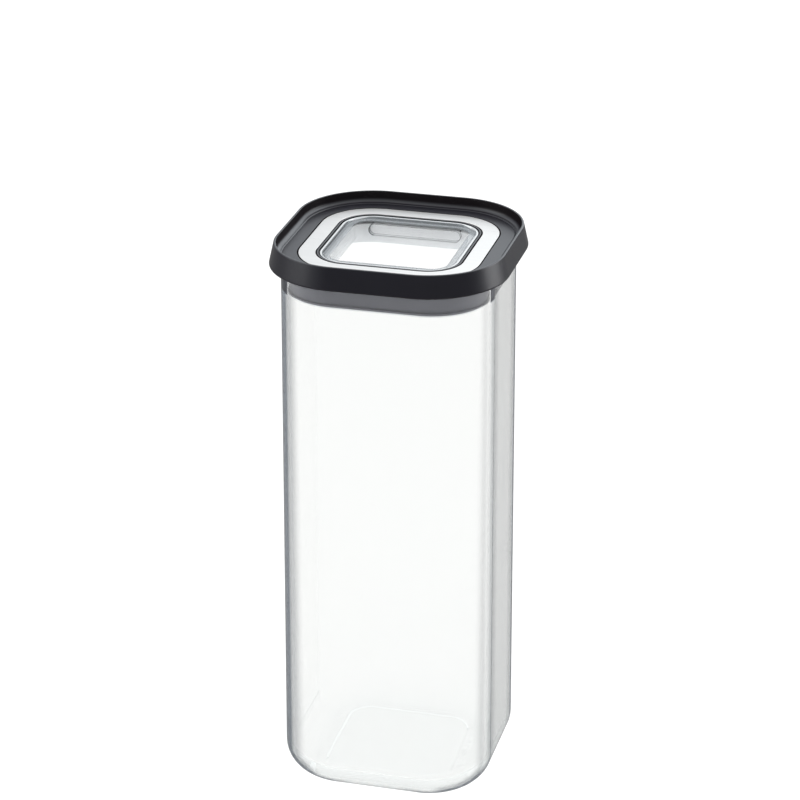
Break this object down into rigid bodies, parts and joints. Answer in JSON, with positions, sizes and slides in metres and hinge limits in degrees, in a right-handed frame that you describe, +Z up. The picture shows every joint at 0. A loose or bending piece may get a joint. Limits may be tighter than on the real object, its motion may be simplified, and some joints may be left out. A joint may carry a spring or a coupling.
{
  "type": "lidded glass canister",
  "caption": "Tall square glass storage canister with rounded corners and a press-on dark lid that has a stacking rim, a steel ring, a clear dished window and a lipped seal.",
  "frame": {"origin": "centre of the jar's standing face", "axes": "+Z up through the lid, -Y towards the viewer, X and Y across the flat sides"},
  "size_m": [0.1108, 0.1108, 0.269],
  "materials": {
    "clear_glass": "clear, polished",
    "dark_plastic": "satin",
    "steel": "brushed",
    "clear_plastic": "clear, polished",
    "frosted_plastic": "translucent",
    "silicone": "matt"
  },
  "bodies": {
    "jar": {"glass_jar": "clear_glass"},
    "lid": {"lid_shell": "dark_plastic", "steel_ring": "steel", "window": "clear_plastic", "plug_frame": "frosted_plastic", "seal_ring": "silicone"}
  },
  "joints": [
    {"name": "lid_lift", "type": "slide", "parent": "jar", "child": "lid", "axis": [0, 0, 1], "range_m": [0, 0.12]}
  ]
}
